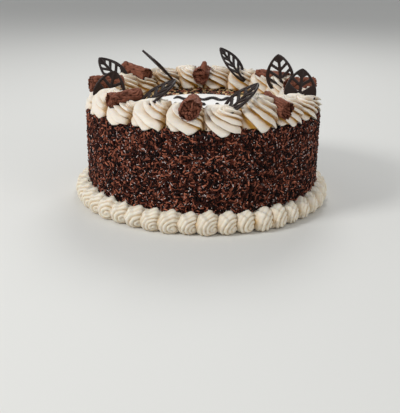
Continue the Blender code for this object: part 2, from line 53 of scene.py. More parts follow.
# The cake under its coat
BARE_RADIUS = 100 * MM
GROUND_RADIUS = 100.7 * MM          # chocolate cream under the vermicelli
COAT_FOOT = 19.2 * MM
SHOULDER_RADIUS = 96.5 * MM
SHOULDER_DROP = 3 * MM
SHOULDER_CHAMFERS = (1.5 * MM, 2 * MM)      # of the shoulder's first slope: inwards, up
DRUM_HEIGHT = 80 * MM
TOP_EDGE = 0.4 * MM                 # height of the small slope round the flat top
DRUM_SIDES = 160
LEVEL = 0.9                         # a face whose normal is steeper than this is flat

# Swirls of cream
SWIRL_COUNT = 20
SWIRL_SEED = 31
SWIRL_PHASE = math.radians(-7.7)
SWIRL_CENTRE_RADIUS = 86 * MM
SWIRL_HALF_DEPTH = 15.4 * MM
SWIRL_HALF_WIDTH = 20.5 * MM
SWIRL_OVERLAP = 4.6 * MM            # how far the left side laps over the swirl before it
SWIRL_TUCK = 0.8 * MM               # how far the right side stays behind the next swirl
SWIRL_CROWDING = 4                  # how squarely a swirl ends where it meets the next
SWIRL_HEIGHT = 19.0 * MM
SWIRL_HEIGHT_STRAY = (0.94, 1.06)
SWIRL_ODD_HEIGHTS = {
    1: 17 * MM, 2: 23 * MM, 4: 16 * MM, 5: 12.2 * MM, 6: 14.5 * MM,
    13: 15.2 * MM, 16: 12.6 * MM, 18: 15.2 * MM}
SWIRL_INNER = 0.9                   # reach towards the middle of the cake, against outwards
SWIRL_FULLNESS = 0.8                # below 1, the plan widens fast under the peak
SWIRL_DOME = 0.85                   # below 1, the dome keeps its height far down
SWIRL_LIP = 1.6 * MM
SWIRL_TIP = 2.6 * MM
SWIRL_TIP_SHARE = 0.16              # part of the way down that belongs to the tip
SWIRL_TIP_ACROSS = (0, 3.5)         # millimetres by which the peak may stray to the right
SWIRL_TIP_OUTWARD = (-3, 1)         # and outwards
SWIRL_LOBES = 9
SWIRL_SAG_FROM = 99 * MM
SWIRL_SAG = 0.6
SWIRL_TWIST = math.radians(165)     # turn of a ridge from the peak to the foot
SWIRL_TWIST_EASE = 1.05             # above 1, a ridge turns faster near the foot
SWIRL_TWIST_STRAY = (0.88, 1.12)
SWIRL_SEGMENTS = 192
SWIRL_RINGS = 56
SWIRL_WIDEST_RING = 50
RIDGE_HEIGHT = 7.0 * MM
RIDGE_MIDDLE = 0.45                 # height of a ridge that lies on the plain dome
RIDGE_SPACINGS = (0.06, 0.20)       # unevenness of the spacing, for each of these waves
RIDGE_SPACING_WAVES = (1, 2, 3)
RIDGE_SPACING_SHARE = 0.6
RIDGE_BOLDNESS = (0.6, 1.2)         # height of one ridge against the others
RIDGE_PATCHES = 0.7                 # how much a ridge swells and fades on its way down
RIDGE_PATCH_SCALE = 1.5
RIDGE_SWELL = 3.0                   # ridges are full one part in this many down the dome
RIDGE_LIFT = 0.9                    # part of a ridge that stands up rather than out
RIDGE_SLOPE_CURVE = 1.6
FOOT_FROM, FOOT_SHARE = 0.7, 0.3    # where the foot starts on the way down, and the rest
FOOT_FLATTENING = 0.4               # part of the relief that is pressed away at the foot
FOOT_DROOP = 1.0 * MM               # how far a crest hangs over the edge at the foot
RIDGE_LEAN = 0.04                   # how far a crest leans over, in ridges
RIDGE_FALL = 0.62                   # share of a ridge that slopes down from its crest
RIDGE_FLOOR = 0.80                  # share at which the valley ends and the steep face starts
VALLEY_CURVE = 2.4                  # how narrowly the painted warm shade keeps to the valleys
# painted warm shade where a swirl is pressed against the next: how narrowly it keeps there, and
# its strength
MEETING_CURVE, MEETING_SHADE = 6, 0.8
SWIRL_DENT_SCALE, SWIRL_DENT = 60, 0.7 * MM         # noise scale in 1/m, and depth
SWIRL_GRAIN_SCALE, SWIRL_GRAIN = 260, 0.35 * MM

# Ring of shells round the foot
SHELL_COUNT = 44
SHELL_SEED = 5
SHELL_PHASE = math.radians(3.3)
SHELL_CENTRE_RADIUS = 103 * MM
SHELL_CENTRE_HEIGHT = 7.2 * MM
SHELL_HALF_WIDTH = 10.8 * MM
SHELL_DEPTH = 11.6 * MM
SHELL_RISE = 9.8 * MM
SHELL_YAW = 0.30                    # the left side stands out over the shell before it
SHELL_NOSE = Vector((0.42, 0.86, -0.30))
SHELL_NOSE_STRAY = 0.14
SHELL_SIZES = (0.93, 1.04)
SHELL_SHIFT = 0.6                   # millimetres by which a shell may stray sideways
SHELL_SEGMENTS = 54
SHELL_RINGS = 40
SHELL_ARCS = 6.4                    # ridges from the nose to the back
SHELL_ARC_STRAY = (0.85, 1.15)
SHELL_ARC_SPAN = 0.75 * math.pi     # angle from the nose over which they are counted
SHELL_ARC_EASE = 0.8                # below 1, they stand closer together at the back
SHELL_ARC_WARP = 0.16
SHELL_GROOVE = 1.4 * MM
SHELL_GROOVE_WIDTH = 0.6            # below 1, the grooves are narrower than the ridges
SHELL_NOSE_RINGS = 3                # rings round the nose over which the grooves fade in
SHELL_GROOVE_LOSS = 0.7             # part of the groove that is lost behind the nose
SHELL_LOSS_FROM, SHELL_LOSS_RATE = 0.3, 4
SHELL_STEPS = 4                     # steps that the last arc makes in the outline
SHELL_STEP = 1.5 * MM
SHELL_STEP_TURN = 0.6               # turn about the nose at which the first step stands
SHELL_STEP_MIDDLE = 0.4             # height of a step that lies on the plain shell
SHELL_STEP_FROM = 0.3               # the steps start this far below the middle
SHELL_SPREAD = 0.12                 # part by which a shell is wider where it stands
SHELL_SPREAD_HEIGHT = 5 * MM
SHELL_GRAIN_SCALE, SHELL_GRAIN = 200, 0.25 * MM
SHELL_EDGE_CURVE = 3.5              # how narrowly the painted warm shade keeps to the sides, where the shells meet
# painted shade at the foot of the shells: its strength, and the height by which it fades out
SHELL_LOW_SHADE, SHELL_LOW_HEIGHT = 0.5, 3 * MM
# strength of the painted shade in the grooves of the shells
SHELL_GROOVE_SHADE = 0.9

# Ruffled sticks: centre, heading in plan (from +X), tilt of the far end, length, radius
STICK_RUFFLE = 1.3 * MM
STICKS = (
    ((-9.8, -86.5, 96.2), 88, -4, 31, 7.2),
    ((57.5, -69.0, 95.5), 125, 8, 29, 5.8),
    ((86.5, 14.5, 96.5), 26, 0, 28, 5.6),
    ((65.5, 52.0, 96.2), -41, 0, 34, 5.6),
    ((-1.0, 82.5, 93.0), 80, 0, 30, 6.6),
    ((-65.0, 61.0, 97.4), -33, -8, 28, 6.6),
    ((-86.2, 4.0, 97.0), 24, 0, 30, 5.4),
    ((-63.5, -58.5, 96.8), 29, 4, 27.5, 5.5),
)
SHARD_STICK = 4                     # this one has a splinter standing up
SHARD_RISE = 8 * MM
STICK_SEGMENTS = 112
STICK_RINGS = 92
STICK_SEED = 47
STICK_LUMP_RANGE = 90
STICK_SQUASH = 0.08                 # part by which a stick is wider than it is high
STICK_SWELL = 0.5 * MM
STICK_TORN = 2.6 * MM               # unevenness of an end
STICK_END_BACK = 1.2 * MM           # how far an end lies back from the stick's length
STICK_END_CREASE = 3.2 * MM         # depth of the creases in an end
STICK_END_ROUND = 1.6 * MM          # how far the rim of an end is rounded off
STICK_RIM = 0.8                     # share of an end's radius past which the side's relief starts
STICK_FOLD = 2.8 * MM
STICK_FOLD_MIDDLE = 0.8             # height of a fold that lies on the plain stick
STICK_BULGE = 1.6 * MM
STICK_GRAIN_SCALE, STICK_GRAIN = 700, 0.3 * MM
# how narrowly the painted dark shade keeps to the creases between the folds
STICK_CREASE_SHADE = 1.4
SHARD_TURN, SHARD_SHARPNESS = 0.2, 14           # about the stick, and how thin it is
SHARD_PLACE, SHARD_HALF_LENGTH = 0.25, 0.2      # along the stick, in its lengths

# Folds: noise scale across and along them in 1/mm, sharpness of the crease, and share
FOLD_BEND, FOLD_BEND_SCALES = 2.6, (0.12, 0.09)
WIDE_FOLDS = ((0.30, 0.045), 4.0, 0.68)
FINE_FOLDS = ((0.75, 0.16), 3.5, 0.32)

# Filigree leaves: foot in the cream, midrib towards the tip, turn about the midrib
LEAF_LENGTH = 41.5 * MM
LEAF_WIDTH = 28 * MM
LEAF_FULLNESS = 0.72
LEAF_THICKNESS = 2.2 * MM
LEAF_BURIED = 2.5 * MM
LEAF_MIDRIB = 2.6 * MM
LEAF_RIM = 2.8 * MM
LEAF_VEIN = 3.2 * MM
LEAF_CELLS = 4
LEAF_CELL_PITCH = 7.6 * MM
LEAF_FIRST_CELL = 5.4 * MM
LEAF_VEIN_SLOPE = 0.75
LEAF_SIDE_POINTS = 24
LEAF_VOXEL = 0.42 * MM              # rounds the edges of the cells when the leaf is cast
LEAF_SOFTENINGS = 3
LEAF_RIB_HALF_WIDTH = 1.4 * MM      # of the raised midrib
LEAF_RIM_MIDDLE = 1.3 * MM          # from the outline to the crest of the raised rim
LEAF_FIELD, LEAF_RAISED = 0.65, 0.4     # thickness of the veins, and what rim and rib add
LEAF_CUP = 1.6 * MM                 # how far the sides curl up
BISECTIONS = 24
LEAVES = (
    ((-74.0, 30.5, 91.5), (-22.5, 3, 23.3), 60),
    ((-81.5, -17.0, 90.0), (5.6, 2, 21.6), 6),
    ((-30.4, 65.0, 90.5), (-29, 3, 26.8), 99),
    ((-50.5, -74.0, 91.5), (28.5, 13.3, 21.5), -78),
    ((37.8, 63.5, 92.0), (-23, 5, 29), 67),
    ((17.1, -84.0, 91.5), (25.6, 10.6, 22), -78),
    ((72.6, 29.0, 86.0), (-5.4, 4, 35), -30),
    ((82.5, -14.5, 89.6), (2, 3, 26), 2),
)

# Plaque and piping
PLAQUE_RADIUS = 50 * MM
PLAQUE_Y = -14 * MM                 # it lies nearer the front swirls than the back ones
PLAQUE_THICKNESS = 2.4 * MM
PLAQUE_SIDES = 128
PLAQUE_UNDER_RIM = ((0.8, 0.0), (0.0, 0.5))     # millimetres in from the radius, and up
PLAQUE_OVER_RIM = ((0.0, 0.8), (0.25, 0.3), (0.8, 0.0), (4.0, 0.0))     # and down
PIPING_DIAMETER = 3.0 * MM
PIPING_LIFT = 0.2                   # of the diameter, from the plaque to the line's middle
PIPING_SEED = 3
SCROLL_ROWS = (24 * MM, -25 * MM)
SCROLL_HALF_LENGTH = 27 * MM
SCROLL_HEIGHT = 4.6 * MM
SCROLL_WAVES = 3.5
SCROLL_STEPS = 90
SCROLL_TAPER, SCROLL_END = 12, 0.25     # how fast a line thins to its ends, and their width
SCROLL_UNEVEN, SCROLL_UNEVEN_PACE = 0.12, 1.7
DOT_COUNT = 5
DOT_PITCH = 12 * MM
DOT_DIAMETER = 4.2 * MM
DOT_LIFT = 0.1                      # of the diameter, from the plaque to the dot's middle
DOT_LENGTHS, DOT_FLATNESS = (0.94, 1.04), 0.85
DOT_PEAK_FROM, DOT_PEAK = 0.8, 1.12     # the tip above this height is drawn up

# Vermicelli strands, about a millimetre thick and four long
STRAND_SIDES = 5
STRAND_RINGS = 3
STRAND_DIAMETER = 1.1 * MM
STRAND_LENGTH = 4.5 * MM
STRAND_STATIONS = (-0.5, -0.38, 0.38, 0.5)      # of the pattern's rings, and their widths
STRAND_WIDTHS = (0.0, 1.0, 1.0, 0.0)
STRAND_THICKNESSES = (0.75, 1.2)
STRAND_LENGTHS = (0.5, 1.2)
STRAND_BEND = 0.3                   # of its thickness, either way
WALL_FOOT, WALL_HEAD = 14.5 * MM, DRUM_HEIGHT + 1.0 * MM
WALL_DEPTHS = (0.0, 0.8, 2.0)       # millimetres outside the ground: least, usual, most
WALL_HEAD_LEAN = 1.1                # how far the strands follow the rounded shoulder inwards
WALL_LIFT = 0.22                    # how far strands stand out from flat
TOP_AT_BACK = 0.8                   # share of the strands that lie behind the plaque
TOP_BACK_SPREAD = 0.45              # in radians, from straight behind
TOP_BACK_RADII = (40, 80)           # millimetres
TOP_ROUND_RADII = (52, 70)
TOP_EDGE_STRAYS = (-1.5, 3.0)       # millimetres outside the plaque's rim
TOP_LIFT = 0.12
TOP_PILE_FROM, TOP_PILE_SLOPE, TOP_PILE = 71 * MM, 0.55, 4.5 * MM
BORDER_REACH = 2.0                  # millimetres
BORDER_RADIUS, BORDER_HEIGHT = 102 * MM, 18.4 * MM


def along_azimuth(azimuth, radius, across=0.0, height=0.0):
    """A point at an azimuth from the front, moved across it to the right."""
    outward = Vector((math.sin(azimuth), -math.cos(azimuth), 0))
    rightward = Vector((math.cos(azimuth), math.sin(azimuth), 0))
    return outward * radius + rightward * across + Vector((0, 0, height))


# ---------------------------------------------------------------- materials

def paint(code):
    """The linear RGBA of an sRGB hex code."""
    channels = [int(code[i:i + 2], 16) / 255 for i in (0, 2, 4)]
    linear = [c / 12.92 if c <= 0.04045 else ((c + 0.055) / 1.055) ** 2.4 for c in channels]
    return (*linear, 1.0)


def node(tree, kind, inputs=None, **settings):
    """Add a node. An input that is a socket gets linked, and any other value is set."""
    made = tree.nodes.new(kind)
    for key, value in settings.items():
        setattr(made, key, value)
    for key, value in (inputs or {}).items():
        if isinstance(value, bpy.types.NodeSocket):
            tree.links.new(value, made.inputs[key])
        else:
            made.inputs[key].default_value = value
    return made


def new_material(name, roughness, specular=0.5):
    """A material with its tree, its shader and its object coordinates."""
    material = bpy.data.materials.new(name)
    material.use_nodes = True
    tree = material.node_tree
    shader = tree.nodes["Principled BSDF"]
    shader.inputs["Roughness"].default_value = roughness
    shader.inputs["Specular IOR Level"].default_value = specular
    place = node(tree, "ShaderNodeTexCoord").outputs["Object"]
    return material, tree, shader, place


def whipped_cream(name, crest, painted_shade_colour, grain):
    """Sweetened whipped cream from a star nozzle: satin, soft inside, with painted warm shade in
    its hollows.
    """
    material, tree, shader, place = new_material(name, 0.46, 0.3)
    groove = node(tree, "ShaderNodeAttribute", attribute_name="groove").outputs["Fac"]
    depth = node(tree, "ShaderNodeMath", {0: groove, 1: 1.2}, operation="POWER").outputs[0]
    cloud = node(tree, "ShaderNodeTexNoise", {"Vector": place, "Scale": 90.0, "Detail": 2.0})
    soft = node(tree, "ShaderNodeMapRange", {
        "Value": cloud.outputs["Fac"], "From Min": 0.3, "From Max": 0.7, "To Min": 0.0,
        "To Max": 0.12}).outputs[0]
    # painted shade in the hollows, plus a little random blotching
    shade_and_blotch = node(tree, "ShaderNodeMath", {0: depth, 1: soft}, operation="ADD",
                  use_clamp=True).outputs[0]
    colour = node(tree, "ShaderNodeMix", {0: shade_and_blotch, 6: paint(crest), 7: paint(painted_shade_colour)},
                  data_type="RGBA").outputs[2]
    tree.links.new(colour, shader.inputs["Base Color"])
    shader.inputs["Subsurface Weight"].default_value = 0.12
    shader.inputs["Subsurface Radius"].default_value = (1.0, 0.75, 0.35)
    shader.inputs["Subsurface Scale"].default_value = 1.5 * MM
    fine = node(tree, "ShaderNodeTexNoise", {"Vector": place, "Scale": grain, "Detail": 3.0})
    bump = node(tree, "ShaderNodeBump", {
        "Height": fine.outputs["Fac"], "Distance": 0.2 * MM, "Strength": 0.5})
    tree.links.new(bump.outputs[0], shader.inputs["Normal"])
    return material


def vermicelli(name, dark, light, roughness):
    """Extruded chocolate strands, dull with sugar; each strand has its own shade."""
    material, tree, shader, place = new_material(name, roughness, 0.12)
    tint = node(tree, "ShaderNodeAttribute", attribute_name="tint").outputs["Fac"]
    colour = node(tree, "ShaderNodeMix", {0: tint, 6: paint(dark), 7: paint(light)},
                  data_type="RGBA").outputs[2]
    tree.links.new(colour, shader.inputs["Base Color"])
    fine = node(tree, "ShaderNodeTexNoise", {"Vector": place, "Scale": 2500.0, "Detail": 2.0})
    bump = node(tree, "ShaderNodeBump", {
        "Height": fine.outputs["Fac"], "Distance": 0.1 * MM, "Strength": 0.4})
    tree.links.new(bump.outputs[0], shader.inputs["Normal"])
    return material


def milk_chocolate():
    """Thin folded milk chocolate: dusty matte and patchy, with painted dark shade in the creases
    between the folds.
    """
    material, tree, shader, place = new_material("folded_milk_chocolate", 0.6, 0.15)
    groove = node(tree, "ShaderNodeAttribute", attribute_name="groove").outputs["Fac"]
    cloud = node(tree, "ShaderNodeTexNoise", {"Vector": place, "Scale": 420.0, "Detail": 4.0})
    patch = node(tree, "ShaderNodeMix", {
        0: cloud.outputs["Fac"], 6: paint("693A29"), 7: paint("9A624D")},
        data_type="RGBA").outputs[2]
    # painted dark shade, laid into the creases by the groove attribute
    colour = node(tree, "ShaderNodeMix", {0: groove, 6: patch, 7: paint("1E0A05")},
                  data_type="RGBA").outputs[2]
    tree.links.new(colour, shader.inputs["Base Color"])
    fine = node(tree, "ShaderNodeTexNoise", {"Vector": place, "Scale": 1400.0, "Detail": 4.0})
    bump = node(tree, "ShaderNodeBump", {
        "Height": fine.outputs["Fac"], "Distance": 0.35 * MM, "Strength": 0.6})
    tree.links.new(bump.outputs[0], shader.inputs["Normal"])
    return material


def dark_chocolate():
    """Tempered dark chocolate from a mould: satin with a slight bloom."""
    material, tree, shader, place = new_material("moulded_dark_chocolate", 0.4, 0.3)
    cloud = node(tree, "ShaderNodeTexNoise", {"Vector": place, "Scale": 160.0, "Detail": 3.0})
    colour = node(tree, "ShaderNodeMix", {
        0: cloud.outputs["Fac"], 6: paint("1A0F0C"), 7: paint("2E1F1A")},
        data_type="RGBA").outputs[2]
    tree.links.new(colour, shader.inputs["Base Color"])
    fine = node(tree, "ShaderNodeTexNoise", {"Vector": place, "Scale": 700.0, "Detail": 2.0})
    bump = node(tree, "ShaderNodeBump", {
        "Height": fine.outputs["Fac"], "Distance": 0.15 * MM, "Strength": 0.5})
    tree.links.new(bump.outputs[0], shader.inputs["Normal"])
    return material


def plain_icing(name, low, high, roughness, scale, relief):
    """A smooth icing or cream with soft blotches and a little tool mark."""
    material, tree, shader, place = new_material(name, roughness, 0.4)
    cloud = node(tree, "ShaderNodeTexNoise", {"Vector": place, "Scale": scale, "Detail": 3.0})
    colour = node(tree, "ShaderNodeMix", {
        0: cloud.outputs["Fac"], 6: paint(low), 7: paint(high)}, data_type="RGBA").outputs[2]
    tree.links.new(colour, shader.inputs["Base Color"])
    bump = node(tree, "ShaderNodeBump", {
        "Height": cloud.outputs["Fac"], "Distance": relief, "Strength": 0.5})
    tree.links.new(bump.outputs[0], shader.inputs["Normal"])
    return material


# ---------------------------------------------------------------- modelling

def only(obj):
    """Select one object alone and make it active."""
    bpy.ops.object.select_all(action="DESELECT")
    obj.select_set(True)
    bpy.context.view_layer.objects.active = obj
    return obj


def settle(obj):
    """Put an object's place into its mesh."""
    only(obj)
    bpy.ops.object.transform_apply(location=True, rotation=True, scale=True)
    return obj


def dress(obj, name, material, nodes):
    """Name a finished piece, give it its material and smooth shading, hang it on the root body
    and hide the parts of the model that it stands for.
    """
    obj.name = name
    obj.data.name = name
    if material is not None:
        obj.data.materials.clear()
        obj.data.materials.append(material)
    only(obj)
    bpy.ops.object.shade_smooth()
    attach(obj, "root")
    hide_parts(*nodes)
    return obj


def ball(segments, rings):
    """A round primitive to be shaped, with the turn and ring number of each vertex."""
    bpy.ops.object.select_all(action="DESELECT")
    bpy.ops.mesh.primitive_uv_sphere_add(segments=segments, ring_count=rings, radius=1.0)
    obj = bpy.context.object
    places = []
    for vert in obj.data.vertices:
        ring = round(math.acos(max(-1.0, min(1.0, vert.co.z))) / math.pi * rings)
        turn = math.atan2(vert.co.y, vert.co.x)
        places.append((ring, turn))
    return obj, places


def set_attribute(mesh, name, values):
    layer = mesh.attributes.new(name, "FLOAT", "POINT")
    layer.data.foreach_set("value", values)


def turned(name, profile, sides):
    """A solid of revolution, drawn up ring by ring from its base."""
    bpy.ops.object.select_all(action="DESELECT")
    radius, height = profile[0]
    bpy.ops.mesh.primitive_circle_add(
        vertices=sides, radius=radius, fill_type="NGON", location=(0, 0, height))
    obj = settle(bpy.context.object)
    bpy.ops.object.mode_set(mode="EDIT")
    bpy.ops.mesh.select_mode(type="FACE")
    bpy.ops.mesh.select_all(action="SELECT")
    for next_radius, next_height in profile[1:]:
        bpy.ops.mesh.extrude_region_move(
            TRANSFORM_OT_translate={"value": (0, 0, next_height - height)})
        scale = next_radius / radius
        bpy.ops.transform.resize(value=(scale, scale, 1), center_override=(0, 0, 0))
        radius, height = next_radius, next_height
    bpy.ops.mesh.select_all(action="SELECT")
    bpy.ops.mesh.normals_make_consistent(inside=False)
    bpy.ops.object.mode_set(mode="OBJECT")
    obj.name = name
    return obj


def make_cake_body(wall, top):
    """The coated cake: chocolate cream on the wall, near-black as painted shade for the gaps
    between the strands, and cream on the top, darker and golden as painted shade among the
    swirls.
    """
    wall_top = DRUM_HEIGHT - SHOULDER_DROP
    inward, upward = SHOULDER_CHAMFERS
    profile = [
        (BARE_RADIUS, 0), (BARE_RADIUS, COAT_FOOT - GAP), (GROUND_RADIUS, COAT_FOOT),
        (GROUND_RADIUS, wall_top), (GROUND_RADIUS - inward, wall_top + upward),
        (SHOULDER_RADIUS, DRUM_HEIGHT - TOP_EDGE), (SHOULDER_RADIUS - 2 * MM, DRUM_HEIGHT)]
    body = turned("cake_body", profile, DRUM_SIDES)
    dress(body, "cake_body", wall, ["cake"])
    body.data.materials.append(top)
    for face in body.data.polygons:
        face.material_index = int(face.center.z > DRUM_HEIGHT - TOP_EDGE / 4)
        face.use_smooth = abs(face.normal.z) < LEVEL
    return body


def ridge_height(phase):
    """Height across the ridges: a full slope down from each crest, a valley, a steep face."""
    share = phase % 1.0
    if share < RIDGE_FALL:
        return 1 - (share / RIDGE_FALL) ** RIDGE_SLOPE_CURVE
    climb = max(0.0, share - RIDGE_FLOOR) / (1 - RIDGE_FLOOR)
    return climb * climb * (3 - 2 * climb)


def stick_frame(stick):
    """Centre, direction, sideways and upward axes, length and radius of a stick."""
    centre, heading, tilt, length, radius = stick
    heading, tilt = math.radians(heading), math.radians(tilt)
    level = math.cos(tilt)
    lie = Vector((math.cos(heading) * level, math.sin(heading) * level, math.sin(tilt)))
    side = lie.cross(Vector((0, 0, 1))).normalized()
    return Vector(centre) * MM, lie, side, side.cross(lie), length * MM, radius * MM


def press_sticks(point, frames):
    """Cream under a stick is pressed down to the stick's underside."""
    for centre, lie, side, up, length, radius in frames:
        room = radius + 0.6 * STICK_RUFFLE
        offset = point - centre
        aside = offset.dot(side)
        if abs(offset.dot(lie)) > length / 2 or abs(aside) > room:
            continue
        floor = -math.sqrt(room ** 2 - aside ** 2)
        if offset.dot(up) > floor:
            point = point + up * (floor - offset.dot(up))
    return point


def make_swirl(index, frames, material):
    """One star-nozzle swirl: twisted ridges with sharp crests that lean over their valleys."""
    draw = random.Random(SWIRL_SEED + index)
    azimuth = SWIRL_PHASE + math.tau * index / SWIRL_COUNT
    height = SWIRL_ODD_HEIGHTS.get(index, SWIRL_HEIGHT) * draw.uniform(*SWIRL_HEIGHT_STRAY)
    start = draw.uniform(0, math.tau)
    peak = Vector((
        draw.uniform(*SWIRL_TIP_ACROSS) * MM, draw.uniform(*SWIRL_TIP_OUTWARD) * MM))
    warp = [(draw.uniform(*RIDGE_SPACINGS), draw.uniform(0, math.tau), wave)
            for wave in RIDGE_SPACING_WAVES]
    bold = [draw.uniform(*RIDGE_BOLDNESS) for _ in range(SWIRL_LOBES)]
    twist = SWIRL_TWIST * draw.uniform(*SWIRL_TWIST_STRAY)
    lump = Vector([draw.uniform(0, LUMP_RANGE) for _ in range(3)])

    obj, places = ball(SWIRL_SEGMENTS, SWIRL_RINGS)
    painted_shade_levels = []
    for vert, (ring, turn) in zip(obj.data.vertices, places):
        down = min(ring / SWIRL_WIDEST_RING, 1.0)
        under = max(0, ring - SWIRL_WIDEST_RING) / (SWIRL_RINGS - SWIRL_WIDEST_RING)
        phase = SWIRL_LOBES * turn / math.tau
        spacing = sum(size * math.sin(wave * turn + at) for size, at, wave in warp)
        phase += spacing * RIDGE_SPACING_SHARE
        crest = ridge_height(phase)
        lobe = phase % SWIRL_LOBES
        low = int(lobe) % SWIRL_LOBES
        mix = lobe - int(lobe)
        strength = bold[low] * (1 - mix) + bold[(low + 1) % SWIRL_LOBES] * mix
        swept = turn + start + twist * down ** SWIRL_TWIST_EASE
        around = Vector((math.cos(swept), math.sin(swept), 2 * down))
        strength *= 1 + RIDGE_PATCHES * noise.noise(around * RIDGE_PATCH_SCALE + lump)
        relief = RIDGE_HEIGHT * strength * min(1.0, down * RIDGE_SWELL) * (crest - RIDGE_MIDDLE)
        relief *= 1 - FOOT_FLATTENING * max(0.0, down - FOOT_FROM) / FOOT_SHARE
        swept -= RIDGE_LEAN * math.tau / SWIRL_LOBES * crest * strength * min(1.0, down * 2)
        reach = math.sin(down * math.pi / 2) ** SWIRL_FULLNESS
        slope = math.sin(down * math.pi / 2)
        rise = SWIRL_LIP + (height - SWIRL_LIP) * math.cos(down * math.pi / 2) ** SWIRL_DOME
        rise += relief * RIDGE_LIFT * (1 - slope) - FOOT_DROOP * crest * down ** 4
        rise += SWIRL_TIP * max(0.0, 1 - down / SWIRL_TIP_SHARE) ** 2
        widen = relief * slope
        if under:
            reach *= 1 - under
            widen *= 1 - under
            rise = 0.0
        across = (SWIRL_HALF_WIDTH * reach + widen) * math.cos(swept) + peak.x * (1 - down)
        outward = -(SWIRL_HALF_DEPTH * reach + widen) * math.sin(swept) + peak.y * (1 - down)
        if outward < 0:
            outward *= SWIRL_INNER
        radius = SWIRL_CENTRE_RADIUS + outward
        limit = radius * math.tan(math.pi / SWIRL_COUNT)
        limit += SWIRL_OVERLAP if across < 0 else -SWIRL_TUCK
        crowd = abs(across / limit)
        across /= (1 + crowd ** SWIRL_CROWDING) ** (1 / SWIRL_CROWDING)
        sag = SWIRL_SAG * max(0.0, radius - SWIRL_SAG_FROM) * down
        point = along_azimuth(azimuth, radius, across, SEAT + rise - sag)
        if not under:
            point += noise.noise_vector(point * SWIRL_DENT_SCALE + lump) * SWIRL_DENT
            point += noise.noise_vector(point * SWIRL_GRAIN_SCALE) * SWIRL_GRAIN
        vert.co = press_sticks(point, frames)
        # painted warm shade: in the valleys, where the swirl is pressed against the next, and on
        # the hidden underside; stronger further down
        valley = (1 - crest) ** VALLEY_CURVE * min(1.0, down * 2.0) * min(1.2, 0.4 + strength)
        meeting_shade = min(1.0, crowd) ** MEETING_CURVE * MEETING_SHADE
        painted_shade_levels.append(min(1.0, max(valley, meeting_shade, under) * (0.35 + 0.65 * down)))
    set_attribute(obj.data, "groove", painted_shade_levels)
    name = f"swirl_{index + 1:02d}"
    return dress(obj, f"cream_{name}", material, [name])


def make_foot_border(material):
    """Small closed-star shells that lap over each other, each a nest of arcs round its nose."""
    draw = random.Random(SHELL_SEED)
    shells = []
    for shell in range(SHELL_COUNT):
        azimuth = SHELL_PHASE + math.tau * shell / SHELL_COUNT
        stray = [draw.uniform(-SHELL_NOSE_STRAY, SHELL_NOSE_STRAY) for _ in range(3)]
        nose = SHELL_NOSE + Vector(stray)
        nose.normalize()
        side = nose.cross(Vector((0, 0, 1))).normalized()
        top = side.cross(nose)
        size = draw.uniform(*SHELL_SIZES)
        spin = draw.uniform(0, 1)
        arcs = SHELL_ARCS * draw.uniform(*SHELL_ARC_STRAY)
        shift = draw.uniform(-SHELL_SHIFT, SHELL_SHIFT) * MM
        lump = Vector((draw.uniform(0, LUMP_RANGE), draw.uniform(0, LUMP_RANGE), 0))
        obj, places = ball(SHELL_SEGMENTS, SHELL_RINGS)
        painted_shade_levels = []
        for vert, (ring, turn) in zip(obj.data.vertices, places):
            polar = math.pi * ring / SHELL_RINGS
            around = nose * math.cos(polar) + (
                side * math.cos(turn) + top * math.sin(turn)) * math.sin(polar)
            warp = SHELL_ARC_WARP * noise.noise(around * 1.2 + lump)
            phase = arcs * (polar / SHELL_ARC_SPAN) ** SHELL_ARC_EASE
            phase += turn / math.tau + spin + warp
            groove = 1 - abs(math.sin(math.pi * phase)) ** SHELL_GROOVE_WIDTH
            groove *= min(1.0, ring / SHELL_NOSE_RINGS)
            behind = max(0.0, polar / math.pi - SHELL_LOSS_FROM) * SHELL_LOSS_RATE
            groove *= 1 - SHELL_GROOVE_LOSS * min(1.0, behind)
            step = ridge_height(SHELL_STEPS * (turn - SHELL_STEP_TURN) / math.pi)
            step *= max(0.0, math.sin(polar)) ** 3 * max(0.0, around.z + SHELL_STEP_FROM)
            relief = SHELL_STEP * (step - SHELL_STEP_MIDDLE) - SHELL_GROOVE * groove
            inset = 1 + relief / SHELL_RISE
            across = SHELL_HALF_WIDTH * around.x * inset * size
            outward = SHELL_DEPTH * around.y * inset * size - SHELL_YAW * across
            height = SHELL_CENTRE_HEIGHT + SHELL_RISE * around.z * inset * size
            spread = 1 + SHELL_SPREAD * max(0.0, 1 - height / SHELL_SPREAD_HEIGHT)
            radius = max(SHELL_CENTRE_RADIUS + outward * spread, BARE_RADIUS - 1 * MM)
            point = along_azimuth(azimuth, radius, across * spread + shift, max(height, 0.0))
            if height > 0:
                point += noise.noise_vector(point * SHELL_GRAIN_SCALE) * SHELL_GRAIN
                point.z = max(point.z, 0.0)
            vert.co = point
            # painted warm shade: at the sides where the shells meet, at the foot, and in the
            # grooves
            edge = min(1.0, abs(across) / SHELL_HALF_WIDTH) ** SHELL_EDGE_CURVE
            low = max(0.0, 1 - height / SHELL_LOW_HEIGHT) * SHELL_LOW_SHADE
            painted_shade_levels.append(min(1.0, max(groove * SHELL_GROOVE_SHADE, edge, low)))
        set_attribute(obj.data, "groove", painted_shade_levels)
        shells.append(obj)
    bpy.ops.object.select_all(action="DESELECT")
    for obj in shells:
        obj.select_set(True)
    bpy.context.view_layer.objects.active = shells[0]
    bpy.ops.object.join()
    return dress(bpy.context.object, "cream_foot_border", material,
                 ["foot_border"])


def fold_field(x, y, z):
    """Rounded folds along z with narrow creases between them: 1 on a fold, 0 in a crease."""
    across, along = FOLD_BEND_SCALES
    bend = noise.noise(Vector((x * across, y * across, z * along))) * FOLD_BEND
    (across, along), sharp, wide_share = WIDE_FOLDS
    wide = abs(noise.noise(Vector((x * across + bend, y * across - bend, z * along))))
    wide = 1 - (1 - min(1.0, wide * sharp)) ** 2
    (across, along), sharp, fine_share = FINE_FOLDS
    fine = abs(noise.noise(Vector((x * across, y * across, z * along))))
    fine = 1 - (1 - min(1.0, fine * sharp)) ** 2
    return wide * wide_share + fine * fine_share


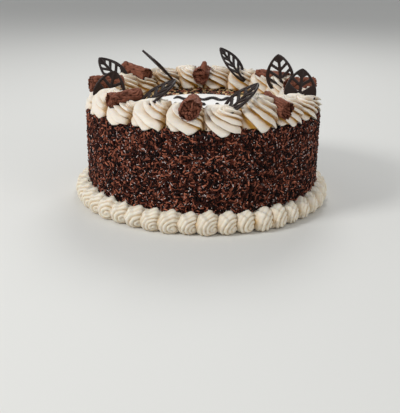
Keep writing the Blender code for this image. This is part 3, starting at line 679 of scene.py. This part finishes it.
def make_stick(index, stick, material):
    """A bundle of thin folded chocolate with fluted sides and crumpled ends."""
    centre, lie, side, up, length, girth = stick_frame(stick)
    draw = random.Random(STICK_SEED + index)
    seed = Vector([draw.uniform(0, STICK_LUMP_RANGE) for _ in range(3)])
    obj, places = ball(STICK_SEGMENTS, STICK_RINGS)
    cap = STICK_RINGS // 4
    painted_shade_levels = []
    for vert, (ring, turn) in zip(obj.data.vertices, places):
        back = min(ring, STICK_RINGS - ring)
        along = (ring - cap) / (STICK_RINGS - 2 * cap) - 0.5
        along = max(-0.5, min(0.5, along))
        share = min(1.0, back / cap)
        squash = 1 + STICK_SQUASH * math.sin(2 * turn + seed.x)
        radius = (girth + STICK_SWELL) * share * squash
        x, y = math.cos(turn) * radius, math.sin(turn) * radius
        z = along * length
        fold = fold_field(x / MM + seed.x, y / MM + seed.y, z / MM + seed.z)
        if back < cap:
            end = -1 if ring < STICK_RINGS / 2 else 1
            at = Vector((x / MM * 0.2 + seed.y, y / MM * 0.2, end))
            torn = noise.noise(at) * STICK_TORN
            back_off = STICK_END_BACK + (1 - fold) * STICK_END_CREASE
            z += end * (torn - back_off - STICK_END_ROUND * share ** 6)
        edge = min(1.0, max(0.0, (share - STICK_RIM) / (1 - STICK_RIM)))
        around = Vector((math.cos(turn) * 1.6, math.sin(turn) * 1.6, along * 2.5))
        bulge = noise.noise(around + seed) * STICK_BULGE
        radius += ((fold - STICK_FOLD_MIDDLE) * STICK_FOLD + bulge) * edge
        if index == SHARD_STICK:
            lift = max(0.0, math.sin(turn + SHARD_TURN)) ** SHARD_SHARPNESS
            lift *= max(0.0, 1 - abs(along + SHARD_PLACE) / SHARD_HALF_LENGTH)
            radius += SHARD_RISE * lift * edge
        x, y = math.cos(turn) * radius, math.sin(turn) * radius
        point = centre + lie * z + side * x + up * y
        vert.co = point + noise.noise_vector(point * STICK_GRAIN_SCALE) * STICK_GRAIN
        # painted dark shade in the creases between the folds
        painted_shade_levels.append((1 - fold) ** STICK_CREASE_SHADE)
    set_attribute(obj.data, "groove", painted_shade_levels)
    name = f"stick_{index + 1:02d}"
    return dress(obj, f"chocolate_{name}", material, [name])


def leaf_half_width(along):
    share = max(0.0, min(1.0, along / LEAF_LENGTH))
    return LEAF_WIDTH / 2 * math.sin(math.pi * share) ** LEAF_FULLNESS


def rim_crossing(start):
    """Where a side vein that leaves the midrib at a height meets the inner side of the rim."""
    low, high = 0.0, LEAF_WIDTH / 2
    for _ in range(BISECTIONS):
        middle = (low + high) / 2
        inside = middle < leaf_half_width(start + LEAF_VEIN_SLOPE * middle) - LEAF_RIM
        low, high = (middle, high) if inside else (low, middle)
    return (low, start + LEAF_VEIN_SLOPE * low)


def leaf_outlines(cut):
    """The outer outline of a leaf from its cut end to its tip, and its open cells."""
    heights = [cut + (LEAF_LENGTH - cut) * i / LEAF_SIDE_POINTS for i in range(LEAF_SIDE_POINTS)]
    right = [(leaf_half_width(height), height) for height in heights]
    left = [(-width, height) for width, height in reversed(right)]
    outlines = [right + [(0, LEAF_LENGTH)] + left]
    inner = LEAF_MIDRIB / 2
    for cell in range(LEAF_CELLS):
        low = LEAF_FIRST_CELL + cell * LEAF_CELL_PITCH
        high = low + LEAF_CELL_PITCH - LEAF_VEIN
        if low < cut + LEAF_VEIN / 2:
            continue
        low_rim, high_rim = rim_crossing(low), rim_crossing(high)
        rise = LEAF_VEIN_SLOPE * inner
        corners = [(inner, low + rise), low_rim, high_rim, (inner, high + rise)]
        outlines.append(corners)
        outlines.append([(-x, y) for x, y in corners])
    return outlines


def make_leaf(index, leaf, material):
    """A filigree leaf with rounded edges and a raised rim and midrib."""
    foot, midrib, turn = leaf
    foot, midrib = Vector(foot) * MM, Vector(midrib) * MM
    hidden = LEAF_LENGTH - midrib.length
    upward = midrib.normalized()
    across = upward.cross(Vector((0, -1, 0))).normalized()
    across.rotate(Matrix.Rotation(math.radians(turn), 3, upward))
    rotation = Matrix((across, upward, across.cross(upward))).transposed()
    placing = Matrix.Translation(foot - upward * hidden) @ rotation.to_4x4()

    curve = bpy.data.curves.new("leaf", "CURVE")
    curve.dimensions = "2D"
    curve.fill_mode = "BOTH"
    curve.extrude = LEAF_THICKNESS / 2
    for outline in leaf_outlines(max(hidden - LEAF_BURIED, 0.5 * MM)):
        spline = curve.splines.new("POLY")
        spline.points.add(len(outline) - 1)
        for point, (x, y) in zip(spline.points, outline):
            point.co = (x, y, 0, 1)
        spline.use_cyclic_u = True
    obj = bpy.data.objects.new("leaf", curve)
    bpy.context.scene.collection.objects.link(obj)
    only(obj)
    bpy.ops.object.convert(target="MESH")
    obj = bpy.context.object
    bpy.ops.object.mode_set(mode="EDIT")
    bpy.ops.mesh.select_all(action="SELECT")
    bpy.ops.mesh.remove_doubles(threshold=1e-6)
    bpy.ops.mesh.normals_make_consistent(inside=False)
    bpy.ops.object.mode_set(mode="OBJECT")
    remesh = obj.modifiers.new("cast", "REMESH")
    remesh.mode = "VOXEL"
    remesh.voxel_size = LEAF_VOXEL
    bpy.ops.object.modifier_apply(modifier=remesh.name)
    smooth = obj.modifiers.new("soften", "SMOOTH")
    smooth.factor = 0.5
    smooth.iterations = LEAF_SOFTENINGS
    bpy.ops.object.modifier_apply(modifier=smooth.name)
    for vert in obj.data.vertices:
        x, y, z = vert.co
        rib = max(0.0, 1 - abs(x) / LEAF_RIB_HALF_WIDTH)
        from_crest = abs(leaf_half_width(y) - abs(x) - LEAF_RIM_MIDDLE)
        rim = max(0.0, 1 - from_crest / LEAF_RIM_MIDDLE)
        thickness = LEAF_FIELD + LEAF_RAISED * max(rib, rim)
        vert.co.z = z * thickness + LEAF_CUP * (x / (LEAF_WIDTH / 2)) ** 2
    obj.matrix_world = placing
    settle(obj)
    name = f"leaf_{index + 1:02d}"
    return dress(obj, f"chocolate_{name}", material, [name])


def make_plaque(icing, piping):
    """A rolled icing disc with a soft edge, and dark piped scrolls and dots on it."""
    low, high = SEAT, SEAT + PLAQUE_THICKNESS
    profile = [(PLAQUE_RADIUS - inward * MM, low + up * MM) for inward, up in PLAQUE_UNDER_RIM]
    profile += [
        (PLAQUE_RADIUS - inward * MM, high - down * MM) for inward, down in PLAQUE_OVER_RIM]
    disc = turned("plaque_disc", profile, PLAQUE_SIDES)
    disc.location.y = PLAQUE_Y
    settle(disc)
    dress(disc, "plaque_disc", icing, ["plaque"])
    for face in disc.data.polygons:
        face.use_smooth = len(face.vertices) == 4

    line_height = high + PIPING_LIFT * PIPING_DIAMETER
    curve = bpy.data.curves.new("piping", "CURVE")
    curve.dimensions = "3D"
    curve.bevel_depth = PIPING_DIAMETER / 2
    curve.bevel_resolution = 3
    curve.use_fill_caps = True
    draw = random.Random(PIPING_SEED)
    for row, centre in enumerate(SCROLL_ROWS):
        spline = curve.splines.new("POLY")
        spline.points.add(SCROLL_STEPS)
        for step, point in enumerate(spline.points):
            share = step / SCROLL_STEPS
            angle = math.tau * SCROLL_WAVES * share + math.pi * row
            x = SCROLL_HALF_LENGTH * (2 * share - 1)
            y = PLAQUE_Y + centre + SCROLL_HEIGHT * math.sin(angle)
            point.co = (x, y, line_height, 1)
            from_end = min(share, 1 - share)
            width = min(1.0, SCROLL_TAPER * from_end + SCROLL_END)
            uneven = SCROLL_UNEVEN * math.sin(angle * SCROLL_UNEVEN_PACE + row)
            point.radius = width * (1 + uneven)
    obj = bpy.data.objects.new("piping", curve)
    bpy.context.scene.collection.objects.link(obj)
    only(obj)
    bpy.ops.object.convert(target="MESH")
    pieces = [bpy.context.object]
    for index in range(DOT_COUNT):
        x = (index - (DOT_COUNT - 1) / 2) * DOT_PITCH
        bpy.ops.object.select_all(action="DESELECT")
        bpy.ops.mesh.primitive_uv_sphere_add(
            segments=20, ring_count=12, radius=DOT_DIAMETER / 2,
            location=(x, PLAQUE_Y, high + DOT_LIFT * DOT_DIAMETER))
        dot = bpy.context.object
        dot.scale = (1, draw.uniform(*DOT_LENGTHS), DOT_FLATNESS)
        for vert in dot.data.vertices:
            if vert.co.z > DOT_PEAK_FROM * DOT_DIAMETER / 2:
                vert.co.z *= DOT_PEAK
        pieces.append(settle(dot))
    bpy.ops.object.select_all(action="DESELECT")
    for piece in pieces:
        piece.select_set(True)
    bpy.context.view_layer.objects.active = pieces[0]
    bpy.ops.object.join()
    return dress(bpy.context.object, "plaque_piping", piping, ["plaque"])


def strand_pattern():
    """One strand: a short rod with rounded ends, as points and faces."""
    obj, places = ball(STRAND_SIDES, STRAND_RINGS)
    points = []
    for ring, turn in places:
        radius = STRAND_WIDTHS[ring] / 2
        points.append((
            math.cos(turn) * radius, math.sin(turn) * radius,
            STRAND_STATIONS[STRAND_RINGS - ring]))
    obj.data.calc_loop_triangles()
    faces = [tuple(triangle.vertices) for triangle in obj.data.loop_triangles]
    bpy.data.objects.remove(obj)
    return np.array(points), np.array(faces)


def unit(vectors):
    return vectors / np.linalg.norm(vectors, axis=1, keepdims=True)


def round_axes(azimuth):
    """Outward, rightward and upward unit vectors at each azimuth."""
    level = np.zeros_like(azimuth)
    outward = np.stack([np.sin(azimuth), -np.cos(azimuth), level], 1)
    rightward = np.stack([np.cos(azimuth), np.sin(azimuth), level], 1)
    upward = np.stack([level, level, level + 1], 1)
    return outward, rightward, upward


def wall_strands(draw, count):
    """Strands stuck to the wall in every direction, mostly flat to it."""
    outward, rightward, upward = round_axes(draw.uniform(0, math.tau, count))
    height = draw.uniform(WALL_FOOT, WALL_HEAD, count)
    radius = GROUND_RADIUS + draw.triangular(*WALL_DEPTHS, count) * MM
    radius -= np.maximum(0.0, height - DRUM_HEIGHT + SHOULDER_DROP) * WALL_HEAD_LEAN
    slant = draw.uniform(0, math.pi, count)[:, None]
    lift = draw.normal(0, WALL_LIFT, count)[:, None]
    lie = rightward * np.cos(slant) + upward * np.sin(slant) + outward * lift
    return outward * radius[:, None] + upward * height[:, None], unit(lie), outward


def top_strands(draw, count):
    """Strands strewn between the plaque and the swirls, thickest behind the plaque."""
    back = draw.uniform(0, 1, count) < TOP_AT_BACK
    behind = math.pi + draw.normal(0, TOP_BACK_SPREAD, count)
    azimuth = np.where(back, behind, draw.uniform(0, math.tau, count))
    behind = draw.uniform(*TOP_BACK_RADII, count)
    radius = np.where(back, behind, draw.uniform(*TOP_ROUND_RADII, count)) * MM
    outward, rightward, upward = round_axes(azimuth)
    place = outward * radius[:, None]
    middle = np.array((0.0, PLAQUE_Y, 0.0))
    away = np.linalg.norm(place - middle, axis=1)
    edge = PLAQUE_RADIUS + draw.uniform(*TOP_EDGE_STRAYS, count) * MM
    place = middle + (place - middle) * np.maximum(1.0, edge / away)[:, None]
    away = np.maximum(away, edge)
    on_plaque = away < PLAQUE_RADIUS + 1.0 * MM
    height = np.where(on_plaque, SEAT + PLAQUE_THICKNESS + 0.5 * MM, DRUM_HEIGHT + 0.6 * MM)
    height += np.clip(TOP_PILE_SLOPE * (radius - TOP_PILE_FROM), 0.0, TOP_PILE)
    slant = draw.uniform(0, math.pi, count)[:, None]
    lift = draw.normal(0, TOP_LIFT, count)[:, None]
    lie = rightward * np.cos(slant) + outward * np.sin(slant) + upward * lift
    return place + upward * height[:, None], unit(lie), upward


def border_strands(draw, count):
    """Strands that fell between the wall and the foot border."""
    outward, rightward, upward = round_axes(draw.uniform(0, math.tau, count))
    reach = draw.uniform(0.0, BORDER_REACH, count) * MM
    slant = draw.uniform(0, math.pi, count)[:, None]
    lie = rightward * np.cos(slant) + upward * np.sin(slant) * 0.5
    radius = (BORDER_RADIUS + reach)[:, None]
    height = (BORDER_HEIGHT - reach)[:, None]
    return outward * radius + upward * height, unit(lie), outward


def scatter(name, seed, plan, material, size, tints):
    """Strands of one kind, each a copy of the pattern laid in its own place.

    The plan says how many lie where. The tints are the least, usual and most shade.
    """
    points, faces = strand_pattern()
    draw = np.random.RandomState(seed)
    laid = [place(draw, count) for place, count in plan]
    centre, lie, hint = (np.concatenate(part) for part in zip(*laid))
    count = len(centre)
    side = unit(np.cross(hint, lie))
    other = np.cross(lie, side)
    thick = STRAND_DIAMETER * size * draw.uniform(*STRAND_THICKNESSES, count)[:, None, None]
    length = STRAND_LENGTH * size * draw.uniform(*STRAND_LENGTHS, count)[:, None, None]
    bend = draw.uniform(-STRAND_BEND, STRAND_BEND, count)[:, None, None] * thick
    x = points[None, :, 0:1] * thick + bend * (1 - (2 * points[None, :, 2:3]) ** 2)
    y = points[None, :, 1:2] * thick
    z = points[None, :, 2:3] * length
    spread = centre[:, None] + x * side[:, None] + y * other[:, None] + z * lie[:, None]
    indices = faces[None] + len(points) * np.arange(count)[:, None, None]
    mesh = bpy.data.meshes.new(name)
    mesh.from_pydata(spread.reshape(-1, 3).tolist(), [], indices.reshape(-1, 3).tolist())
    set_attribute(mesh, "tint", np.repeat(draw.triangular(*tints, count), len(points)))
    obj = bpy.data.objects.new(name, mesh)
    bpy.context.scene.collection.objects.link(obj)
    return dress(obj, name, material, ["cake"])


# ---------------------------------------------------------------- assembly

CAMERA_PLACE = (0, -0.6331, 0.2162)
CAMERA_PITCH, CAMERA_YAW, CAMERA_ROLL = map(math.radians, (20.16, -0.14, 0.96))
CAMERA_SENSOR, CAMERA_LENS = 36.0, 62.98        # millimetres
LIGHTS = (                          # name, place, target, diameter in metres, watts
    ("key", (-0.9, -0.55, 0.85), (0, 0, 0.06), 0.4, 9.8),
    ("fill", (0.8, -0.7, 0.5), (0, 0, 0.05), 0.6, 2.4),
    ("back", (0.1, 0.8, 0.9), (0, 0, 0.08), 0.5, 4.5),
)
WORLD_STRENGTH = 0.44
FLOOR_SIZE = 30.0
FLOOR_HEIGHT = -0.0004


def make_camera():
    """A long-lens camera in front of the cake, looking a little down on it."""
    pitch, yaw, roll = CAMERA_PITCH, CAMERA_YAW, CAMERA_ROLL
    forward = Vector((math.sin(yaw) * math.cos(pitch), math.cos(yaw) * math.cos(pitch),
                      -math.sin(pitch)))
    right = forward.cross(Vector((0, 0, 1))).normalized()
    up = right.cross(forward)
    x_axis = right * math.cos(roll) + up * math.sin(roll)
    y_axis = up * math.cos(roll) - right * math.sin(roll)
    data = bpy.data.cameras.new("camera")
    data.sensor_width = CAMERA_SENSOR
    data.lens = CAMERA_LENS
    data.clip_start = 0.01
    camera = bpy.data.objects.new("camera", data)
    rotation = Matrix((x_axis, y_axis, -forward)).transposed()
    camera.matrix_world = Matrix.Translation(CAMERA_PLACE) @ rotation.to_4x4()
    bpy.context.scene.collection.objects.link(camera)
    bpy.context.scene.camera = camera


def make_light(name, place, target, size, watts):
    data = bpy.data.lights.new(name, "AREA")
    data.shape = "DISK"
    data.size = size
    data.energy = watts
    light = bpy.data.objects.new(name, data)
    aim = Vector(target) - Vector(place)
    rotation = aim.to_track_quat("-Z", "Y").to_matrix().to_4x4()
    light.matrix_world = Matrix.Translation(place) @ rotation
    bpy.context.scene.collection.objects.link(light)


def make_studio():
    """A plain pale floor and soft light from the left, the right and behind."""
    bpy.ops.object.select_all(action="DESELECT")
    bpy.ops.mesh.primitive_plane_add(size=FLOOR_SIZE, location=(0, 0, FLOOR_HEIGHT))
    floor = bpy.context.object
    floor.name = "studio_floor"
    material, tree, shader, place = new_material("pale_card", 0.7)
    shader.inputs["Base Color"].default_value = paint("DCDCD8")
    floor.data.materials.append(material)
    bpy.context.scene.view_settings.view_transform = "Standard"
    world = bpy.context.scene.world or bpy.data.worlds.new("studio")
    bpy.context.scene.world = world
    world.use_nodes = True
    background = world.node_tree.nodes["Background"]
    background.inputs["Color"].default_value = paint("F2F3F5")
    background.inputs["Strength"].default_value = WORLD_STRENGTH
    for light in LIGHTS:
        make_light(*light)


def build():
    # the second colour of each cream is the painted warm shade that the groove attribute lays in
    # its hollows
    cream = whipped_cream("piped_whipped_cream", "EBE4D8", "C18F36", 600.0)
    ivory = whipped_cream("piped_ivory_cream", "ECE6D7", "BA8F46", 600.0)
    # near-black: chocolate cream darkened as painted shade for the gaps between the strands
    ground = plain_icing("chocolate_cream_and_gap_shade", "060202", "120706", 0.7, 300.0, 0.6 * MM)
    # the top cream is darker and golden all over as painted shade among the swirls, with random
    # blotches
    top = plain_icing("spread_cream_and_painted_shade", "E2D2AC", "CF9E48", 0.5, 45.0, 0.5 * MM)
    icing = plain_icing("rolled_white_icing", "F7F6F3", "EFEDE8", 0.5, 60.0, 0.1 * MM)
    piping = plain_icing("piped_dark_icing", "140B0A", "2A1B19", 0.35, 300.0, 0.1 * MM)

    make_cake_body(ground, top)
    frames = [stick_frame(stick) for stick in STICKS]
    for index in range(SWIRL_COUNT):
        make_swirl(index, frames, cream)
    make_foot_border(ivory)
    chocolate = milk_chocolate()
    for index, stick in enumerate(STICKS):
        make_stick(index, stick, chocolate)
    dark = dark_chocolate()
    for index, leaf in enumerate(LEAVES):
        make_leaf(index, leaf, dark)
    make_plaque(icing, piping)

    shade = vermicelli("dark_vermicelli", "040101", "1A0907", 0.5)
    brown = vermicelli("brown_vermicelli", "180704", "4E2014", 0.5)
    milk = vermicelli("milk_vermicelli", "4C1B10", "BE7459", 0.5)
    # pale strands stand in for glints of light on the glossy strands: painted highlights
    painted_glint = vermicelli("painted_glint_vermicelli", "A8827A", "F8F0EC", 0.4)
    plan = ((wall_strands, 9000), (top_strands, 340), (border_strands, 60))
    scatter("vermicelli_dark", 101, plan, shade, 1.0, (0, 0.4, 1))
    plan = ((wall_strands, 8600),)
    scatter("vermicelli_brown", 104, plan, brown, 1.0, (0, 0.4, 1))
    plan = ((wall_strands, 8200), (top_strands, 110), (border_strands, 40))
    scatter("vermicelli_milk", 102, plan, milk, 1.0, (0, 0.25, 1))
    # the pale strands are painted highlights
    plan = ((wall_strands, 4800),)
    scatter("vermicelli_painted_glints", 103, plan, painted_glint, 0.5, (0, 0.3, 1))


noise.seed_set(NOISE_SEED)
build()
make_camera()
make_studio()
